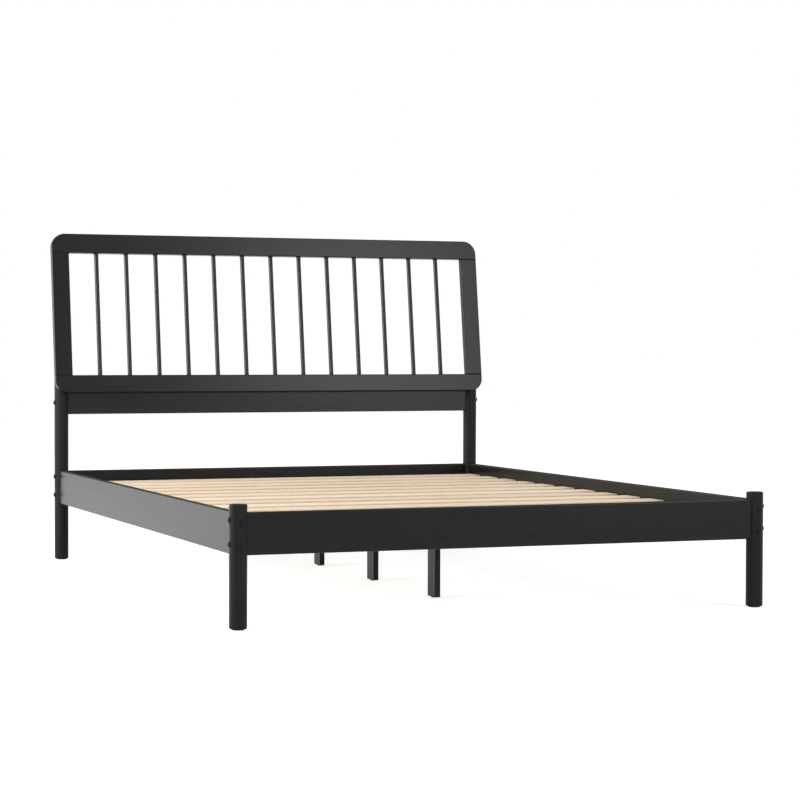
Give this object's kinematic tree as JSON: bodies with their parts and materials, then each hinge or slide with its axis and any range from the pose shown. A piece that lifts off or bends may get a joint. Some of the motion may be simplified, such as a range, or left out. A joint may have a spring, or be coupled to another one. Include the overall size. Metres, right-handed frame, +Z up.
{
  "type": "spindle bed",
  "caption": "Low wooden platform bed: a slatted deck between round posts, with a spindle headboard that leans back on the taller head posts.",
  "frame": {"origin": "on the floor, under the middle of the whole bed", "axes": "+X to the right seen from the foot, +Y towards the headboard, +Z up"},
  "size_m": [1.662, 2.1778, 1.1724],
  "materials": {
    "black_wood": "satin black stain",
    "pine": "bare planed pine",
    "plain_wood": "matte black stain",
    "black_steel": "black coating",
    "zinc_steel": "zinc plated",
    "nylon": "matte",
    "beech": "bare"
  },
  "bodies": {
    "root": {"foot_post_left": "black_wood", "foot_post_right": "black_wood", "head_post_left": "black_wood", "head_post_right": "black_wood", "foot_rail": "black_wood", "head_rail": "black_wood", "side_rail_left": "black_wood", "side_rail_right": "black_wood", "cross_rail": "black_wood", "headboard_top_rail": "black_wood", "headboard_bottom_rail": "black_wood", "headboard_stile_left": "black_wood", "headboard_stile_right": "black_wood", "centre_leg_1": "black_wood", "centre_leg_2": "black_wood", "centre_leg_3": "black_wood", "spindle_01": "black_wood", "spindle_02": "black_wood", "spindle_03": "black_wood", "spindle_04": "black_wood", "spindle_05": "black_wood", "spindle_06": "black_wood", "spindle_07": "black_wood", "spindle_08": "black_wood", "spindle_09": "black_wood", "spindle_10": "black_wood", "spindle_11": "black_wood", "spindle_12": "black_wood", "spindle_13": "black_wood", "slat_01": "pine", "slat_02": "pine", "slat_03": "pine", "slat_04": "pine", "slat_05": "pine", "slat_06": "pine", "slat_07": "pine", "slat_08": "pine", "slat_09": "pine", "slat_10": "pine", "slat_11": "pine", "slat_12": "pine", "slat_13": "pine", "slat_ledger_left": "plain_wood", "slat_ledger_right": "plain_wood", "centre_beam": "plain_wood", "end_rail_bolts": "black_steel", "side_rail_bolts": "black_steel", "headboard_bolts": "black_steel", "beam_hanger_foot": "zinc_steel", "beam_hanger_head": "zinc_steel", "barrel_nuts": "zinc_steel", "headboard_inserts": "zinc_steel", "slat_screws": "zinc_steel", "ledger_screws": "zinc_steel", "hanger_screws": "zinc_steel", "leg_bolts": "zinc_steel", "post_glides": "nylon", "leg_glides": "nylon", "stile_dowels": "beech"}
  },
  "joints": []
}
